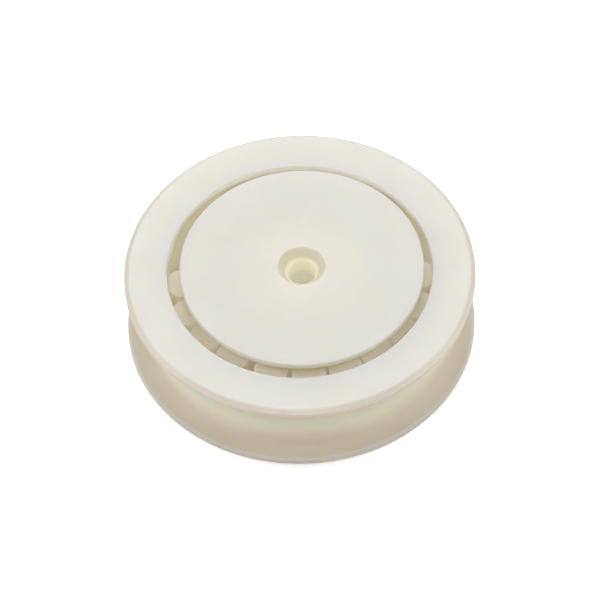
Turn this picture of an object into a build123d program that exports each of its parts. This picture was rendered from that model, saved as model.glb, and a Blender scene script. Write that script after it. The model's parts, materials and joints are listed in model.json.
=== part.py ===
from build123d import *
from math import asin, cos, degrees, radians, sin
import os

# Plastic rope sheave with a bearing of loose rollers.
#
# A grooved rim turns on loose cylindrical rollers around a flanged hub. The rollers run between
# lips inside the rim and flanges on the hub, so they also hold the rim along the axle. The hub
# comes apart into a body and a press-in cover, which is how the rollers are loaded.
#
# Units are millimetres. The Z axis is the axle and the origin is the middle of the hub's bore.
# The bearing has play, and the sheave is drawn at rest on the bench, where the rim lies off the
# axle by all of that play and the rollers lie halfway. A bearing_play of 0 makes all coaxial.

# ---------------------------------------------------------------- driving dimensions
# Rim
rim_diameter = 76.2
rim_width = 19.7
rim_bevel_width = 1.15
rim_bevel_depth = 0.8
rim_bevel_round = 0.15
rim_wall = 3.735
lip_height = 1.195
lip_thickness = 2.1
lip_edge_round = 0.3
race_corner_round = 0.25

# Rope groove, cut round the rim
groove_land = 1.95
groove_radius = 8.4
groove_flank_angle = 45.0
groove_mouth_round = 0.5

# Rollers
roller_diameter = 7.4
roller_chamfer = 0.25
least_roller_gap = 0.05

# Hub
slit_width = 2.25
hub_flange_edge = 1.5
hub_flange_round = 0.3
hub_flange_bevel = 1.8
hub_stand_off = 1.35
bore_diameter = 6.35
mouth_width = 2.025
mouth_angle = 82.0
spigot_diameter = 28.0
spigot_length = 3.4
spigot_chamfer = 0.5

# Play and clearances
bearing_play = 0.49
race_clearance = 0.1
end_clearance = 0.1
spigot_clearance = 0.05
spigot_floor_clearance = 0.1

# The loose rollers have rolled into two groups. Each group spans the angle from its first roller
# anticlockwise to its last, and holds as many as fit. Its spare room is shared out between its
# gaps in the proportions listed for it, and any gap that isn't listed takes the usual share.
front_group_start = 182.0
front_group_span = 176.5
front_gaps = (11, 1, 11, 39, 15, 9, 6, 6, 7, 7)
back_group_start = 47.0
back_group_span = 70.0
back_gaps = (8, 4, 9, 7)
usual_gap = 7

# ---------------------------------------------------------------- sizes that follow
rim_radius = rim_diameter / 2
rim_top = rim_width / 2
lip_face = rim_top - lip_thickness
hub_top = rim_top + hub_stand_off

# The groove's round bottom is tangent to both flanks.
groove_half_mouth = rim_top - groove_land
flank = radians(groove_flank_angle)
groove_centre = rim_radius + (groove_radius - groove_half_mouth * cos(flank)) / sin(flank)

# The bearing is built inwards from the bottom of the groove.
roller_radius = roller_diameter / 2
roller_length = 2 * (lip_face - end_clearance)
roller_room = race_clearance + bearing_play / 2
rim_race_radius = groove_centre - groove_radius - rim_wall
pitch_radius = rim_race_radius - roller_room - roller_radius
hub_race_radius = pitch_radius - roller_radius - roller_room
lip_radius = rim_race_radius - lip_height
flange_radius = lip_radius - slit_width
shoulder_radius = flange_radius - hub_flange_bevel
bore_radius = bore_diameter / 2
spigot_radius = spigot_diameter / 2

# Where the loose rings lie at rest
rim_centre = Vector(-bearing_play, 0, 0)
roller_ring_centre = Vector(-bearing_play / 2, 0, 0)

# How near a section's corner lies to the radius that it is chosen by
corner_tolerance = 0.001


def group_angles(start, span, gaps):
    """Angle round the hub of each roller in a group, which runs anticlockwise from its start."""
    roller_pitch = degrees(2 * asin((roller_radius + least_roller_gap / 2) / pitch_radius))
    intervals = int(span // roller_pitch)
    spare = span - intervals * roller_pitch
    shares = [gaps[place] if place < len(gaps) else usual_gap for place in range(intervals)]
    angles = [start]
    for share in shares:
        angles.append(angles[-1] + roller_pitch + spare * share / sum(shares))
    return angles


def corners_at(section, radius):
    """Corners of a revolved section that lie at one radius from the axle, lowest first."""
    corners = section.vertices()
    at_radius = corners.filter_by_position(Axis.X, radius - corner_tolerance, radius + corner_tolerance)
    return at_radius.sort_by(Axis.Y)


def add_flange(side):
    """Add one flange disc of the hub to the part being built: side is 1 at the top, -1 below."""
    with BuildSketch(Plane.XZ) as section:
        with BuildLine():
            Polyline(
                (0, side * hub_top),
                (flange_radius, side * hub_top),
                (flange_radius, side * (hub_top - hub_flange_edge)),
                (shoulder_radius, side * lip_face),
                (0, side * lip_face),
                close=True,
            )
        make_face()
        edge_corners = corners_at(section, flange_radius)
        fillet(edge_corners[-1] if side > 0 else edge_corners[0], hub_flange_round)
    revolve(section.sketch, axis=Axis.Z)


def drill_bore(side):
    """Drill the axle bore from one face of the hub, with its open mouth."""
    face = Plane((0, 0, side * hub_top), x_dir=(1, 0, 0), z_dir=(0, 0, side))
    with Locations(face):
        CounterSinkHole(bore_radius, bore_radius + mouth_width, counter_sink_angle=mouth_angle)


# ---------------------------------------------------------------- rim
with BuildPart() as rim:
    with BuildSketch(Plane(rim_centre, x_dir=(1, 0, 0), z_dir=(0, -1, 0))) as rim_section:
        with BuildLine():
            root = CenterArc((groove_centre, 0), groove_radius, 180, groove_flank_angle - 90)
            Polyline(
                root @ 1,
                (rim_radius, groove_half_mouth),
                (rim_radius, rim_top - rim_bevel_depth),
                (rim_radius - rim_bevel_width, rim_top),
                (lip_radius, rim_top),
                (lip_radius, lip_face),
                (rim_race_radius, lip_face),
                (rim_race_radius, 0),
                root @ 0,
            )
        make_face()
        mirror(about=Plane.XZ)
        fillet(corners_at(rim_section, rim_radius)[1:3], groove_mouth_round)
        fillet(corners_at(rim_section, rim_radius)[::3], rim_bevel_round)
        fillet(corners_at(rim_section, rim_radius - rim_bevel_width), rim_bevel_round)
        fillet(corners_at(rim_section, lip_radius)[::3], lip_edge_round)
        fillet(corners_at(rim_section, rim_race_radius), race_corner_round)
    revolve(axis=Axis(rim_centre, (0, 0, 1)))

# ---------------------------------------------------------------- hub
with BuildPart() as hub_body:
    add_flange(-1)
    with BuildSketch(Plane.XY.offset(-lip_face)):
        Circle(hub_race_radius)
    extrude(amount=2 * lip_face)
    with BuildSketch(Plane.XY.offset(lip_face)):
        Circle(spigot_radius)
    extrude(amount=-(spigot_length + spigot_floor_clearance), mode=Mode.SUBTRACT)
    drill_bore(-1)

with BuildPart() as hub_cover:
    add_flange(1)
    with BuildSketch(Plane.XY.offset(lip_face)):
        Circle(spigot_radius - spigot_clearance)
    extrude(amount=-spigot_length)
    spigot_nose = hub_cover.faces().sort_by(Axis.Z)[0]
    chamfer(spigot_nose.edges(), spigot_chamfer)
    drill_bore(1)

# ---------------------------------------------------------------- rollers
roller_angles = group_angles(front_group_start, front_group_span, front_gaps)
roller_angles += group_angles(back_group_start, back_group_span, back_gaps)
rollers = []
for number, angle in enumerate(roller_angles, start=1):
    seat = roller_ring_centre + Vector(pitch_radius, 0, 0).rotate(Axis.Z, angle)
    with BuildPart(Plane(seat)) as roller:
        Cylinder(roller_radius, roller_length)
        chamfer(roller.edges().filter_by(GeomType.CIRCLE), roller_chamfer)
    roller.part.label = f"roller_{number:02d}"
    rollers.append(roller.part)

# ---------------------------------------------------------------- export
rim.part.label = "rim"
hub_body.part.label = "hub_body"
hub_cover.part.label = "hub_cover"

os.makedirs("parts", exist_ok=True)
export_step(rim.part, "parts/rim.step")
export_step(hub_body.part, "parts/hub_body.step")
export_step(hub_cover.part, "parts/hub_cover.step")
for roller_part in rollers:
    export_step(roller_part, f"parts/{roller_part.label}.step")
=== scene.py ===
"""Rope sheave in natural nylon: a grooved rim that turns on loose rollers round a flanged hub.

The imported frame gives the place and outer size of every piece. Each piece is turned ring by ring,
as on a lathe, and stands for its CAD node. The floor, the lamps and the camera stand round it.
"""

import json
import logging
from dataclasses import dataclass
from enum import Enum
from math import cos, radians, sin, tan, tau

import bpy
from mathutils import Matrix, Vector


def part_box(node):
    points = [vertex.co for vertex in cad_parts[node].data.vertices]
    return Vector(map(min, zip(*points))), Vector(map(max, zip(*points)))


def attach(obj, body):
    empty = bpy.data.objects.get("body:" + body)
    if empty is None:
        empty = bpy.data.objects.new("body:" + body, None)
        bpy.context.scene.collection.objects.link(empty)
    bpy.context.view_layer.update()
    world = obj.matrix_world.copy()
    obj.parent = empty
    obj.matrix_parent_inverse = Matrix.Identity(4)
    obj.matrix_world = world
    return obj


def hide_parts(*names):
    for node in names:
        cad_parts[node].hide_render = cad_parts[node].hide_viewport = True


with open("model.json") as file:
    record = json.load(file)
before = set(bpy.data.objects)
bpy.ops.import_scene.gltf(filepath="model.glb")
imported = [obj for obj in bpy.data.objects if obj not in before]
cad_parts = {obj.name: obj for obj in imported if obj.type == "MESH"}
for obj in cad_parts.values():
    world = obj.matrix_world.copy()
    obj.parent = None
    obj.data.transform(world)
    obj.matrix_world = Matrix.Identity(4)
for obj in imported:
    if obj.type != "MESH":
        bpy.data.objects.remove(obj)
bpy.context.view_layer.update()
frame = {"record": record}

log = logging.getLogger("sheave")

MM = 0.001

RING_SIDES = 256
ROLLER_SIDES = 96
FLOOR_SIDES = 64
CORNER_RINGS = 3
SMOOTH_ANGLE = radians(38)
WELD_DISTANCE = 1e-6

MIX_FACTOR = 0
MIX_FIRST_COLOUR = 6
MIX_SECOND_COLOUR = 7
MIX_COLOUR = 2

BLACK = (0.0, 0.0, 0.0)
WHITE = (1.0, 1.0, 1.0)

Colour = tuple[float, float, float]
Point = tuple[float, float]
Span = tuple[float, float]


class Body(Enum):
    """The bodies that the pieces ride on."""

    HUB = "hub"
    RIM = "rim"
    ROLLERS = "roller_ring"


class Slot(Enum):
    """The record's material slots."""

    HUB = "hub"
    RIM = "rim"
    ROLLERS = "rollers"


class Side(Enum):
    """The two faces of the sheave."""

    TOP = 1
    BOTTOM = -1


# ---------------------------------------------------------------- shader maths
class Wire:
    """A node's output, with the operators that the finishes use."""

    def __init__(self, shader: "Shader", socket: bpy.types.NodeSocket) -> None:
        """Wrap one output socket of a shader's tree."""
        self.shader = shader
        self.socket = socket

    def output(self, name: str) -> "Wire":
        """Take another output of the same node."""
        return Wire(self.shader, self.socket.node.outputs[name])

    def math(self, operation: str, other: "Wire | float" = 0.0) -> "Wire":
        """Add a Math node that takes this wire first, and the other where it needs one."""
        return self.shader.node("Math", {"operation": operation}, {0: self, 1: other})

    def __add__(self, other: "Wire | float") -> "Wire":
        """Sum."""
        return self.math("ADD", other)

    def __mul__(self, other: "Wire | float") -> "Wire":
        """Product."""
        return self.math("MULTIPLY", other)

    def __sub__(self, other: "Wire | float") -> "Wire":
        """Difference."""
        return self.math("SUBTRACT", other)

    def __rsub__(self, other: float) -> "Wire":
        """Difference, the other way round."""
        return self * -1.0 + other

    def __truediv__(self, other: "Wire | float") -> "Wire":
        """Quotient."""
        return self.math("DIVIDE", other)

    def __rtruediv__(self, other: float) -> "Wire":
        """Quotient, the other way round."""
        return self.math("POWER", -1.0) * other

    __radd__ = __add__
    __rmul__ = __mul__

    def ramp(self, span: Span) -> "Wire":
        """Step smoothly from 0 at the span's first value to 1 at its second."""
        sockets = {"Value": self, "From Min": span[0], "From Max": span[1]}
        return self.shader.node("MapRange", {"interpolation_type": "SMOOTHSTEP"}, sockets)


class Shader:
    """The node tree of a material or of the world, with a short way to add nodes."""

    def __init__(self, owner: "bpy.types.Material | bpy.types.World") -> None:
        """Start the owner's tree afresh, with only its output node.

        Args:
            owner: The material or the world that the tree belongs to.
        """
        owner.use_nodes = True
        self.owner = owner
        self.tree = owner.node_tree
        self.tree.nodes.clear()
        kind = "World" if isinstance(owner, bpy.types.World) else "Material"
        self.surface = self.tree.nodes.new("ShaderNodeOutput" + kind).inputs["Surface"]

    def node(
        self,
        kind: str,
        settings: dict[str, str] | None = None,
        sockets: "dict[str | int, Wire | Colour | float] | None" = None,
        output: str | int = 0,
    ) -> Wire:
        """Add a node.

        Args:
            kind: The node's type, without its ShaderNode prefix.
            settings: The node's own settings, which are set first.
            sockets: A wire, a colour or a number for an input, by the input's name or number.
            output: The output to hand back.

        Returns:
            That output.
        """
        node = self.tree.nodes.new("ShaderNode" + kind)
        for name, value in (settings or {}).items():
            setattr(node, name, value)
        for name, value in (sockets or {}).items():
            socket = node.inputs[name]
            if isinstance(value, Wire):
                self.tree.links.new(value.socket, socket)
            elif socket.type == "RGBA":
                socket.default_value = (*value, 1.0)
            else:
                socket.default_value = value
        return Wire(self, node.outputs[output])

    def mix(self, factor: Wire, first: "Wire | Colour", second: "Wire | Colour") -> Wire:
        """Mix two colours, with all of the first at 0 and all of the second at 1."""
        sockets = {MIX_FACTOR: factor, MIX_FIRST_COLOUR: first, MIX_SECOND_COLOUR: second}
        return self.node("Mix", {"data_type": "RGBA"}, sockets, MIX_COLOUR)

    def blend(self, factor: Wire, first: Wire, second: Wire) -> Wire:
        """Blend two shaders, with all of the first at 0 and all of the second at 1."""
        return self.node("MixShader", sockets={0: factor, 1: first, 2: second})

    def seen(self) -> Wire:
        """Tell rays that show the surroundings from rays that light the sheave.

        Returns:
            1 for camera, glossy and transmission rays, 0 for the others.
        """
        camera = self.node("LightPath", output="Is Camera Ray")
        glossy = camera.output("Is Glossy Ray")
        through = camera.output("Is Transmission Ray")
        return camera.math("MAXIMUM", glossy).math("MAXIMUM", through)

    def close(self, surface: Wire) -> None:
        """Lead a shader to the output."""
        self.tree.links.new(surface.socket, self.surface)


# ---------------------------------------------------------------- finishes
@dataclass(frozen=True)
class Zones:
    """The parts of a piece's surface, each a wire that is 1 on it and 0 elsewhere."""

    bearing: Wire
    bore: Wire
    inside: Wire
    groove: Wire
    land: Wire


@dataclass(frozen=True)
class Nylon:
    """Natural nylon: satin, faintly cloudy and a little translucent, with fine marks of the lathe.

    The cloud and the grain are solid patterns, so they run through the piece as in the real stock.
    The tool marks are rings about the piece's own axis. The recesses and the bore have colours
    that are painted light and shade: the rim's bearing is paler than its faces, the hub's sides
    and countersink darker and warmer as painted shade, and the hub's bore paler and warmer as
    painted light. The rope groove is painted pale on its floor, as painted light, and darker and
    yellower towards its mouth, as painted shade. The outer land is painted warmer, as shade.
    The glow is painted light: an emission that stands for daylight that comes through the thin
    lips and flanges into the recesses. Each zone fades in from the first value of its span to
    the second.
    """

    name: str
    face: Colour
    face_cloud: Colour
    # painted light and shade: the recess colour, paler than the faces on the rim, darker and warmer
    # on the hub
    painted_recess: Colour
    # painted light: the bore is paler and warmer than the faces
    bore: Colour = (0.87, 0.83, 0.70)
    # painted light on the groove's floor, painted shade towards its mouth
    groove_floor_painted_light: Colour = (0.98, 0.90, 0.74)
    groove_mouth_painted_shade: Colour = (0.71, 0.625, 0.49)
    # painted shade: the outer land is warmer and a little darker than the faces
    land: Colour = (0.80, 0.72, 0.655)

    bearing_height: Span = (9.75 * MM, 9.4 * MM)
    bearing_radius: Span = (30.5 * MM, 30.0 * MM)
    bore_radius: Span = (3.9 * MM, 3.2 * MM)
    countersink_radius: Span = (5.3 * MM, 5.0 * MM)
    groove_height: Span = (9.85 * MM, 9.25 * MM)
    # where the groove's painted shade runs, from its floor to its mouth
    groove_painted_shade_span: Span = (0.0, 8.5 * MM)
    land_radius: Span = (37.4 * MM, 37.9 * MM)

    # painted light: an emission that stands for daylight carried through the nylon into the
    # recesses and the groove
    glow: Colour = (0.97, 0.88, 0.66)
    glow_in_bore: Colour = (0.92, 0.95, 0.78)
    glow_strength: float = 0.11
    glow_in_groove: float = 0.72
    glow_in_bearing: float = 0.54
    glow_deep_in_bearing: float = 0.40
    deep_height: Span = (7.5 * MM, 6.5 * MM)
    groove_glow_height: Span = (5.0 * MM, 1.5 * MM)

    roughness: float = 0.42
    roughness_spread: float = 0.08
    polished: Span | None = None
    polish: float = 0.28
    polish_fade: float = 0.7
    specular: float = 0.45
    subsurface: float = 1.0
    scatter: Colour = (1.0, 0.8, 0.55)
    scatter_depth: float = 8 * MM

    cloud_size: float = 9 * MM
    cloud_detail: float = 3.0
    cloud_contrast: Span = (0.35, 0.7)
    grain_size: float = 0.35 * MM
    grain_detail: float = 2.0
    grain_depth: float = 0.006 * MM
    mark_pitch: float = tau * 0.22 * MM
    mark_depth: float = 0.002 * MM
    mark_waver: float = 2.0

    def material(self, axis: float = 0.0) -> bpy.types.Material:
        """Build the material.

        Args:
            axis: Where the piece's upright axis stands, along X.

        Returns:
            The finished material.
        """
        shader = Shader(bpy.data.materials.new(self.name))
        place = shader.node("TexCoord", output="Object")
        cloud = self.pattern(shader, place, self.cloud_size, self.cloud_detail)
        grain = self.pattern(shader, place, self.grain_size, self.grain_detail)
        east = shader.node("SeparateXYZ", sockets={"Vector": place}, output="X")
        across, along = east - axis, east.output("Y")
        height = east.output("Z").math("ABSOLUTE")
        radius = (across * across + along * along).math("POWER", 0.5)
        zones = self.zones(radius, height)
        sockets = {
            "Base Color": self.tone(shader, zones, cloud, height),
            "Roughness": self.satin(cloud, radius),
            "Normal": self.relief(shader, cloud, grain, radius),
            "Emission Color": self.paint_recess_glow(shader, zones, height),
            "Emission Strength": self.glow_strength,
            "Subsurface Weight": self.subsurface,
            "Subsurface Radius": self.scatter,
            "Subsurface Scale": self.scatter_depth,
            "Specular IOR Level": self.specular,
        }
        shader.close(shader.node("BsdfPrincipled", sockets=sockets))
        return shader.owner

    def pattern(self, shader: Shader, place: Wire, size: float, detail: float) -> Wire:
        """Add a noise that is solid in the stock, with features of the given size."""
        sockets = {"Vector": place, "Scale": 1 / size, "Detail": detail}
        return shader.node("TexNoise", sockets=sockets)

    def zones(self, radius: Wire, height: Wire) -> Zones:
        """Tell the parts of the surface apart.

        Args:
            radius: The distance from the piece's axis.
            height: The height over or under the sheave's middle.

        Returns:
            The zones.
        """
        bearing = height.ramp(self.bearing_height) * radius.ramp(self.bearing_radius)
        return Zones(
            bearing=bearing,
            bore=radius.ramp(self.bore_radius),
            inside=1.0 - (1.0 - bearing) * (1.0 - radius.ramp(self.countersink_radius)),
            groove=height.ramp(self.groove_height) * (1.0 - bearing),
            land=radius.ramp(self.land_radius),
        )

    def tone(self, shader: Shader, zones: Zones, cloud: Wire, height: Wire) -> Wire:
        """Colour the zones, with painted light and painted shade in the recesses, the groove and
        the land.

        Args:
            shader: The material's tree.
            zones: The parts of the surface.
            cloud: The cloudy pattern.
            height: The height over or under the sheave's middle.

        Returns:
            The base colour.
        """
        face = shader.mix(cloud.ramp(self.cloud_contrast), self.face, self.face_cloud)
        # painted light and shade: the groove is pale on its floor and darker and yellower towards
        # its mouth
        painted_shade = height.ramp(self.groove_painted_shade_span)
        groove_paint = shader.mix(painted_shade, self.groove_floor_painted_light, self.groove_mouth_painted_shade)
        # painted shade on the outer land, which is warmer than the faces
        outside = shader.mix(zones.groove, face, shader.mix(zones.land, groove_paint, self.land))
        return shader.mix(zones.inside, outside, shader.mix(zones.bore, self.painted_recess, self.bore))

    def paint_recess_glow(self, shader: Shader, zones: Zones, height: Wire) -> Wire:
        """Paint light into the recesses as an emission, which stands for the daylight in the nylon.

        Args:
            shader: The material's tree.
            zones: The parts of the surface.
            height: The height over or under the sheave's middle.

        Returns:
            The emission's colour.
        """
        deep = height.ramp(self.deep_height) * self.glow_deep_in_bearing
        in_bearing = zones.bearing * (deep + self.glow_in_bearing)
        in_groove = zones.groove * height.ramp(self.groove_glow_height) * self.glow_in_groove
        lit = in_bearing + (1.0 - zones.inside) * in_groove
        return shader.mix(zones.bore, shader.mix(lit, BLACK, self.glow), self.glow_in_bore)

    def satin(self, cloud: Wire, radius: Wire) -> Wire:
        """Vary the roughness, with a smoother band where an edge is polished.

        Args:
            cloud: The cloudy pattern.
            radius: The distance from the piece's axis.

        Returns:
            The roughness.
        """
        rough = cloud * self.roughness_spread + (self.roughness - self.roughness_spread / 2)
        if self.polished:
            middle = (self.polished[0] + self.polished[1]) / 2
            half = (self.polished[1] - self.polished[0]) / 2
            away = (radius - middle).math("ABSOLUTE")
            rough = rough - away.ramp((half, half * self.polish_fade)) * self.polish
        return rough

    def relief(self, shader: Shader, cloud: Wire, grain: Wire, radius: Wire) -> Wire:
        """Raise the tool marks and the grain.

        Args:
            shader: The material's tree.
            cloud: The cloudy pattern, which makes the marks waver.
            grain: The fine pattern.
            radius: The distance from the piece's axis.

        Returns:
            The surface's normal.
        """
        phase = radius / (self.mark_pitch / tau) + cloud * self.mark_waver
        rise = phase.math("SINE") * self.mark_depth + grain * self.grain_depth
        return shader.node("Bump", sockets={"Height": rise, "Distance": 1.0})


RIM_NYLON = Nylon(
    name="rim_nylon",
    face=(0.80, 0.785, 0.735),
    face_cloud=(0.79, 0.77, 0.715),
    # painted light: the rim's recesses are paler than its faces
    painted_recess=(0.92, 0.89, 0.80),
    polished=(28.65 * MM, 29.15 * MM),
)
HUB_NYLON = Nylon(
    name="hub_nylon",
    face=(0.82, 0.79, 0.72),
    face_cloud=(0.81, 0.775, 0.70),
    # painted shade: the hub's sides and countersink are darker and warmer than its faces
    painted_recess=(0.765, 0.73, 0.605),
)
ROLLER_NYLON = Nylon(
    name="roller_nylon",
    face=(0.77, 0.70, 0.56),
    face_cloud=(0.76, 0.69, 0.54),
    painted_recess=(0.77, 0.70, 0.56),
    # painted light: a weaker glow on the rollers
    glow_in_bearing=0.27,
)


# ---------------------------------------------------------------- turning
class Turning:
    """A piece turned about an upright axis, ring by ring."""

    def __init__(self, name: str, centre: Vector, start: Point, sides: int) -> None:
        """Start with one ring.

        Args:
            name: The piece's name.
            centre: A point on its axis.
            start: The first ring's radius and height.
            sides: How many sides every ring has.
        """
        self.centre = centre
        self.radius, self.height = start
        bpy.ops.object.select_all(action="DESELECT")
        bpy.ops.mesh.primitive_circle_add(
            vertices=sides, radius=self.radius, location=(centre.x, centre.y, self.height)
        )
        self.object = bpy.context.object
        self.object.name = name
        self.object.data.name = name
        bpy.ops.object.mode_set(mode="EDIT")
        bpy.ops.mesh.select_all(action="SELECT")

    def to(self, radius: float, height: float) -> "Turning":
        """Draw the next ring of the surface from the last one.

        Args:
            radius: The ring's radius.
            height: Its height.

        Returns:
            The turning.
        """
        bpy.ops.mesh.extrude_edges_move(
            TRANSFORM_OT_translate={"value": (0, 0, height - self.height)}
        )
        scale = radius / self.radius
        bpy.ops.transform.resize(
            value=(scale, scale, 1), center_override=(self.centre.x, self.centre.y, height)
        )
        self.radius, self.height = radius, height
        return self

    def arc(self, middle: Point, bend: float, start: float, end: float, rings: int) -> "Turning":
        """Follow an arc of the section.

        Args:
            middle: Radius and height of the arc's middle.
            bend: The arc's own radius.
            start: The angle at which it starts, in degrees.
            end: The angle at which it ends.
            rings: How many rings it takes.

        Returns:
            The turning.
        """
        for ring in range(1, rings + 1):
            angle = radians(start + (end - start) * ring / rings)
            self.to(middle[0] + bend * cos(angle), middle[1] + bend * sin(angle))
        return self

    def corner(
        self, before: Point, at: Point, after: Point, bend: float, rings: int = CORNER_RINGS
    ) -> "Turning":
        """Turn a rounded corner of the section.

        Args:
            before: Radius and height of a point that the section comes from.
            at: Radius and height of the sharp corner.
            after: Radius and height of a point that it goes on to.
            bend: The rounding's radius.
            rings: How many steps the rounding takes.

        Returns:
            The turning.
        """
        point = Vector(at)
        inward = (Vector(before) - point).normalized()
        onward = (Vector(after) - point).normalized()
        half = inward.angle(onward) / 2
        middle = point + (inward + onward).normalized() * (bend / sin(half))
        start = point + inward * (bend / tan(half)) - middle
        end = point + onward * (bend / tan(half)) - middle
        for ring in range(rings + 1):
            spoke = start.slerp(end, ring / rings) * bend
            self.to(middle.x + spoke.x, middle.y + spoke.y)
        return self

    def walls(self, before: Point, corners: list[tuple[Point, float]], after: Point) -> "Turning":
        """Follow a run of straight walls.

        Args:
            before: Radius and height of a point that the section comes from.
            corners: Radius and height of each corner, with its rounding or 0 for a sharp one.
            after: Radius and height of a point that it goes on to.

        Returns:
            The turning.
        """
        points = [before, *(point for point, _ in corners), after]
        for number, (point, bend) in enumerate(corners):
            if bend:
                self.corner(points[number], point, points[number + 2], bend)
            else:
                self.to(*point)
        return self

    def cap(self) -> "Turning":
        """Close the last ring with a face."""
        bpy.ops.mesh.edge_face_add()
        return self

    def finish(self, material: bpy.types.Material) -> bpy.types.Object:
        """Weld the rings, face the skin outwards, and bring the piece to the origin.

        Args:
            material: The material that the piece gets.

        Returns:
            The finished piece.
        """
        bpy.ops.mesh.select_all(action="SELECT")
        bpy.ops.mesh.remove_doubles(threshold=WELD_DISTANCE)
        bpy.ops.mesh.normals_make_consistent(inside=False)
        bpy.ops.object.mode_set(mode="OBJECT")
        bpy.ops.object.transform_apply(location=True, rotation=True, scale=True)
        bpy.ops.object.shade_smooth_by_angle(angle=SMOOTH_ANGLE)
        weight = self.object.modifiers.new("flats", "WEIGHTED_NORMAL")
        weight.keep_sharp = True
        bpy.ops.object.modifier_apply(modifier=weight.name)
        self.object.data.materials.append(material)
        return self.object


def seat(piece: bpy.types.Object, body: Body, node: str) -> bpy.types.Object:
    """Let a finished piece ride on its body in place of its CAD node.

    Args:
        piece: The finished piece.
        body: The body that it moves with.
        node: The CAD node that it stands for.

    Returns:
        The piece.
    """
    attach(piece, body.value)
    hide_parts(node)
    return piece


# ---------------------------------------------------------------- pieces
@dataclass
class Rim:
    """The grooved rim, with lips inside that hold the rollers."""

    finish: Nylon = RIM_NYLON
    bevel_width: float = 1.15 * MM
    bevel_depth: float = 0.8 * MM
    bevel_round: float = 0.15 * MM
    land: float = 1.95 * MM
    mouth_round: float = 0.5 * MM
    groove_bend: float = 8.4 * MM
    groove_rings: int = 28
    flank: float = 45.0
    lip_radius: float = 28.75 * MM
    lip_thickness: float = 2.1 * MM
    lip_round: float = 0.3 * MM
    race_radius: float = 29.945 * MM
    race_round: float = 0.25 * MM

    def upper_corners(self, outer: float, top: float) -> list[tuple[Point, float]]:
        """List the corners of the section's upper half, from the groove's mouth to the race.

        Args:
            outer: The rim's outer radius.
            top: The height of its upper face.

        Returns:
            Radius and height of each corner, with its rounding.
        """
        lip = top - self.lip_thickness
        return [
            ((outer, top - self.land), self.mouth_round),
            ((outer, top - self.bevel_depth), self.bevel_round),
            ((outer - self.bevel_width, top), self.bevel_round),
            ((self.lip_radius, top), self.lip_round),
            ((self.lip_radius, lip), 0.0),
            ((self.race_radius, lip), self.race_round),
        ]

    def build(self) -> bpy.types.Object:
        """Turn the rim: the race, the lower half, the groove, the upper half.

        Returns:
            The finished rim.
        """
        low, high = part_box("rim")
        centre = (low + high) / 2
        outer = (high.x - low.x) / 2
        upper = self.upper_corners(outer, high.z)
        lower = [((radius, -height), bend) for (radius, height), bend in reversed(upper)]
        race = (self.race_radius, 0.0)
        half_mouth = high.z - self.land
        lean = radians(self.flank)
        middle = outer + (self.groove_bend - half_mouth * cos(lean)) / sin(lean)
        flank_end = (middle - self.groove_bend * sin(lean), self.groove_bend * cos(lean))
        turn = Turning("rim_turned", centre, race, RING_SIDES)
        turn.walls(race, lower, (flank_end[0], -flank_end[1]))
        turn.arc(
            (middle, 0.0), self.groove_bend, 270 - self.flank, 90 + self.flank, self.groove_rings
        )
        turn.walls(flank_end, upper, race)
        turn.to(*race)
        rim = turn.finish(self.finish.material(centre.x))
        return seat(rim, Body.RIM, "rim")


@dataclass
class Hub:
    """The flanged hub: a body and a pressed-in cover, with the axle bore through both."""

    finish: Nylon = HUB_NYLON
    edge: float = 1.5 * MM
    edge_round: float = 0.3 * MM
    edge_rings: int = 5
    shoulder_radius: float = 24.7 * MM
    race_radius: float = 21.855 * MM
    bore_radius: float = 3.175 * MM
    mouth_width: float = 2.025 * MM
    mouth_angle: float = 82.0
    split: float = 7.75 * MM
    spigot_radius: float = 14.0 * MM
    spigot_length: float = 3.4 * MM
    spigot_chamfer: float = 0.5 * MM
    spigot_clearance: float = 0.05 * MM
    floor_clearance: float = 0.1 * MM

    def build(self) -> list[bpy.types.Object]:
        """Turn the cover and the body.

        Returns:
            The two finished pieces.
        """
        material = self.finish.material()
        return [
            self.half(Side.TOP, "hub_cover", material),
            self.half(Side.BOTTOM, "hub_body", material),
        ]

    def half(self, side: Side, node: str, material: bpy.types.Material) -> bpy.types.Object:
        """Turn one half of the hub, from its bore over its face to its inner end.

        Args:
            side: The face that the half has.
            node: The CAD node that it stands for.
            material: Its material.

        Returns:
            The finished half.
        """
        low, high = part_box("hub_cover")
        outer = (high.x - low.x) / 2
        up = side.value
        face = up * high.z
        mouth = self.bore_radius + self.mouth_width
        throat = up * (high.z - self.mouth_width / tan(radians(self.mouth_angle / 2)))
        turn = Turning(node + "_turned", Vector(), (self.bore_radius, throat), RING_SIDES)
        turn.to(mouth, face)
        turn.corner((mouth, face), (outer, face), (outer, 0), self.edge_round, self.edge_rings)
        turn.to(outer, up * (high.z - self.edge))
        turn.to(self.shoulder_radius, up * self.split)
        if side is Side.TOP:
            self.spigot(turn)
        else:
            self.socket(turn)
        turn.to(self.bore_radius, throat)
        return seat(turn.finish(material), Body.HUB, node)

    def spigot(self, turn: Turning) -> None:
        """Turn the cover's spigot down to the bore.

        Args:
            turn: The cover's turning, which stands at the end of its flange.
        """
        radius = self.spigot_radius - self.spigot_clearance
        nose = self.split - self.spigot_length
        turn.to(radius, self.split).to(radius, nose + self.spigot_chamfer)
        turn.to(radius - self.spigot_chamfer, nose).to(self.bore_radius, nose)

    def socket(self, turn: Turning) -> None:
        """Turn the body's race and the socket that takes the spigot.

        Args:
            turn: The body's turning, which stands at the end of its flange.
        """
        floor = self.split - self.spigot_length - self.floor_clearance
        turn.to(self.race_radius, -self.split).to(self.race_radius, self.split)
        turn.to(self.spigot_radius, self.split).to(self.spigot_radius, floor)
        turn.to(self.bore_radius, floor)


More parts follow.
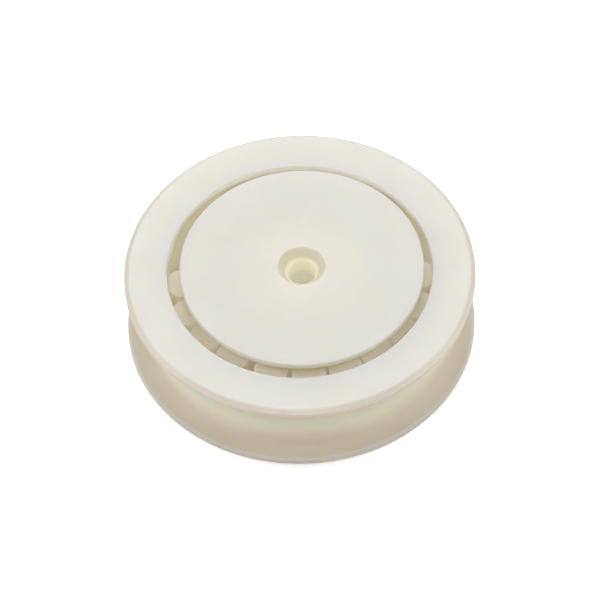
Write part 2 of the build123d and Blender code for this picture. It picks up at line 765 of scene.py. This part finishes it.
@dataclass
class Rollers:
    """The loose rollers, turned once and copied to their places in the ring."""

    finish: Nylon = ROLLER_NYLON
    chamfer: float = 0.25 * MM

    def build(self) -> list[bpy.types.Object]:
        """Turn one roller and copy it.

        Returns:
            The finished rollers.
        """
        names = frame["record"]["behaviour"]["bodies"][Body.ROLLERS.value]
        low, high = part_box(names[0])
        first = (low + high) / 2
        radius = (high.x - low.x) / 2
        half = high.z
        start = (radius - self.chamfer, -half)
        turn = Turning(names[0] + "_turned", first, start, ROLLER_SIDES)
        turn.cap().to(radius, -half + self.chamfer).to(radius, half - self.chamfer)
        turn.to(radius - self.chamfer, half).cap()
        pieces = [turn.finish(self.finish.material())]
        pieces += [self.copy(pieces[0], name, first) for name in names[1:]]
        return [seat(piece, Body.ROLLERS, name) for piece, name in zip(pieces, names)]

    def copy(self, roller: bpy.types.Object, name: str, first: Vector) -> bpy.types.Object:
        """Copy the first roller, with a mesh of its own, to another's place.

        Args:
            roller: The first roller.
            name: The other's CAD node.
            first: The first roller's middle.

        Returns:
            The copy.
        """
        low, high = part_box(name)
        piece = roller.copy()
        piece.data = roller.data.copy()
        piece.name = name + "_turned"
        piece.data.name = piece.name
        piece.data.transform(Matrix.Translation((low + high) / 2 - first))
        bpy.context.scene.collection.objects.link(piece)
        return piece


# ---------------------------------------------------------------- studio
@dataclass(frozen=True)
class Lamp:
    """A round soft box that points at the sheave, with its size in metres and power in watts."""

    name: str
    place: tuple[float, float, float]
    size: float
    power: float

    def hang(self) -> None:
        """Hang the lamp and turn it to the sheave."""
        data = bpy.data.lights.new(self.name, "AREA")
        data.shape = "DISK"
        data.size = self.size
        data.energy = self.power
        lamp = bpy.data.objects.new(self.name, data)
        bpy.context.scene.collection.objects.link(lamp)
        aim = Vector(self.place).to_track_quat("Z", "Y").to_matrix().to_4x4()
        lamp.matrix_world = Matrix.Translation(self.place) @ aim


@dataclass(frozen=True)
class Camera:
    """A long lens that looks down at the sheave from the front. Its angles are in degrees."""

    lens: float = 257.03
    sensor: float = 36.0
    clip: Span = (0.05, 20.0)
    distance: float = 927.77 * MM
    elevation: float = 52.592
    tilt: float = -0.406155
    pan: float = 0.007864
    roll: float = -1.876

    def place(self, target: Vector) -> None:
        """Place the camera.

        Args:
            target: The point that it looks at, before the tilt and the pan.
        """
        data = bpy.data.cameras.new("camera")
        data.lens = self.lens
        data.sensor_width = self.sensor
        data.clip_start, data.clip_end = self.clip
        camera = bpy.data.objects.new("camera", data)
        bpy.context.scene.collection.objects.link(camera)
        lift = radians(self.elevation)
        right = Vector((1, 0, 0))
        up = Vector((0, sin(lift), cos(lift)))
        back = Vector((0, -cos(lift), sin(lift)))
        aim = Matrix((right, up, back)).transposed().to_4x4()
        for angle, axis in ((self.tilt, "X"), (self.pan, "Y"), (self.roll, "Z")):
            aim = aim @ Matrix.Rotation(radians(angle), 4, axis)
        camera.matrix_world = Matrix.Translation(target + back * self.distance) @ aim
        bpy.context.scene.camera = camera


@dataclass(frozen=True)
class Floor:
    """A round paper floor that shows as white and keeps the sheave's shadow."""

    radius: float = 0.8
    paper: Colour = (0.80, 0.77, 0.72)
    lift: float = 0.62
    fade: Span = (0.2, 0.6)

    def lay(self, height: float) -> None:
        """Lay the floor.

        Args:
            height: Where it lies.
        """
        bpy.ops.object.select_all(action="DESELECT")
        bpy.ops.mesh.primitive_circle_add(
            vertices=FLOOR_SIDES, radius=self.radius, fill_type="NGON", location=(0, 0, height)
        )
        floor = bpy.context.object
        floor.name = "floor"
        bpy.ops.object.transform_apply(location=True)
        floor.data.materials.append(self.material())

    def material(self) -> bpy.types.Material:
        """Build the paper, which is lifted to white where it is seen and plain where it lights.

        Returns:
            The finished material.
        """
        shader = Shader(bpy.data.materials.new("floor_paper"))
        place = shader.node("TexCoord", output="Object")
        away = shader.node("VectorMath", {"operation": "LENGTH"}, {"Vector": place}, "Value")
        paper = shader.node("BsdfDiffuse", sockets={"Color": self.paper})
        lift = shader.node("Emission", sockets={"Color": WHITE, "Strength": self.lift})
        white = shader.node("Emission", sockets={"Color": WHITE, "Strength": 1.0})
        lifted = shader.node("AddShader", sockets={0: paper, 1: lift})
        bright = shader.blend(away.ramp(self.fade), lifted, white)
        shader.close(shader.blend(shader.seen(), paper, bright))
        return shader.owner


@dataclass(frozen=True)
class Studio:
    """Camera, floor, lamps and air."""

    camera: Camera = Camera()
    floor: Floor = Floor()
    air: float = 0.08
    air_colour: Colour = (1.0, 0.99, 0.97)
    lamps: tuple[Lamp, ...] = (
        Lamp("front", (0.0, -0.75, 1.07), 0.5, 4.5),
        Lamp("back_high", (0.0, 0.65, 1.12), 0.5, 2.45),
        Lamp("back_low", (0.0, 1.12, 0.65), 0.5, 3.8),
        Lamp("left", (-1.0, 0.0, 0.84), 0.6, 5.05),
        Lamp("right", (1.0, 0.0, 0.84), 0.6, 4.9),
    )

    def world(self) -> None:
        """Light the studio's air a little, and show it as white."""
        world = bpy.data.worlds.new("studio")
        shader = Shader(world)
        air = {"Color": self.air_colour, "Strength": self.air}
        white = {"Color": WHITE, "Strength": 1.0}
        lit = shader.node("Background", sockets=air)
        shown = shader.node("Background", sockets=white)
        shader.close(shader.blend(shader.seen(), lit, shown))
        bpy.context.scene.world = world

    def build(self, target: Vector, floor_height: float) -> None:
        """Set up the whole studio.

        Args:
            target: The point that the camera looks at.
            floor_height: The height of the floor.
        """
        self.camera.place(target)
        self.floor.lay(floor_height)
        self.world()
        for lamp in self.lamps:
            lamp.hang()
        bpy.context.scene.view_settings.view_transform = "Standard"


def main() -> None:
    """Build the sheave and its studio."""
    for piece in [Rim().build(), *Hub().build(), *Rollers().build()]:
        log.info("%s: %d faces", piece.name, len(piece.data.polygons))
    low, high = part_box("rim")
    Studio().build(Vector(((low.x + high.x) / 2, 0, high.z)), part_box("hub_body")[0].z)


if __name__ == "__main__":
    logging.basicConfig(level=logging.INFO)
    main()
